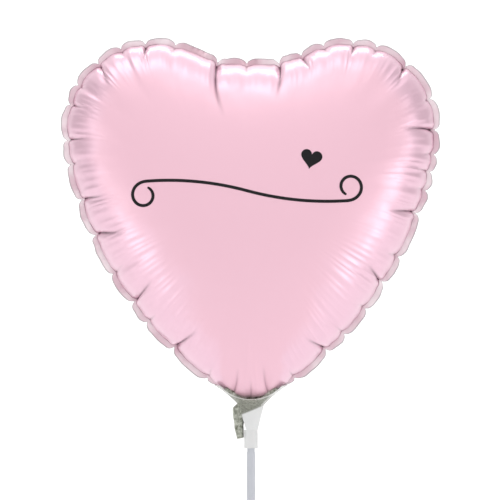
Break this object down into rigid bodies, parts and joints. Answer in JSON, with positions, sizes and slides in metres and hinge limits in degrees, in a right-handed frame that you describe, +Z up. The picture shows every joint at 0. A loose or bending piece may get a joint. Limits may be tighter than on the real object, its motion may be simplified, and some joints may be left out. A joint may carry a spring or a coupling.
{
  "type": "foil balloon on stick",
  "caption": "Air-filled foil heart balloon held by its gathered neck in a slotted plastic cup on a thin tubular stick.",
  "frame": {"origin": "centre of the stick's lower end", "axes": "+Z up along the stick to the heart, -Y is the heart's front, +X to the right seen from the front"},
  "size_m": [0.19, 0.086, 0.491],
  "materials": {
    "pink_film": "pearl pink print on metallised film, satin gloss",
    "seam_film": "pink film fused double, slightly grey and see-through",
    "valve_film": "thin clear film",
    "silver_film": "bare metallised film, crumpled, grey silver",
    "cup_plastic": "clear, slightly milky moulded plastic",
    "stick_plastic": "light grey extruded tube, satin"
  },
  "bodies": {
    "stick": {"stick": "stick_plastic"},
    "cup": {"balloon_cup": "cup_plastic"},
    "neck": {"neck_tail": "silver_film"},
    "balloon": {"front_panel": "pink_film", "back_panel": "pink_film", "seam_flange": "seam_film", "valve_front_film": "valve_film", "valve_back_film": "valve_film"}
  },
  "joints": [
    {"name": "cup_turn", "type": "hinge", "parent": "stick", "child": "cup", "pos_m": [0, 0, 0.293], "axis": [0, 0, 1], "continuous": true},
    {"name": "neck_lift", "type": "slide", "parent": "cup", "child": "neck", "axis": [0, 0, 1], "range_m": [0, 0.03]},
    {"name": "balloon_nod", "type": "hinge", "parent": "neck", "child": "balloon", "pos_m": [0, 0, 0.331], "axis": [1, 0, 0], "range_deg": [-8, 8]}
  ]
}
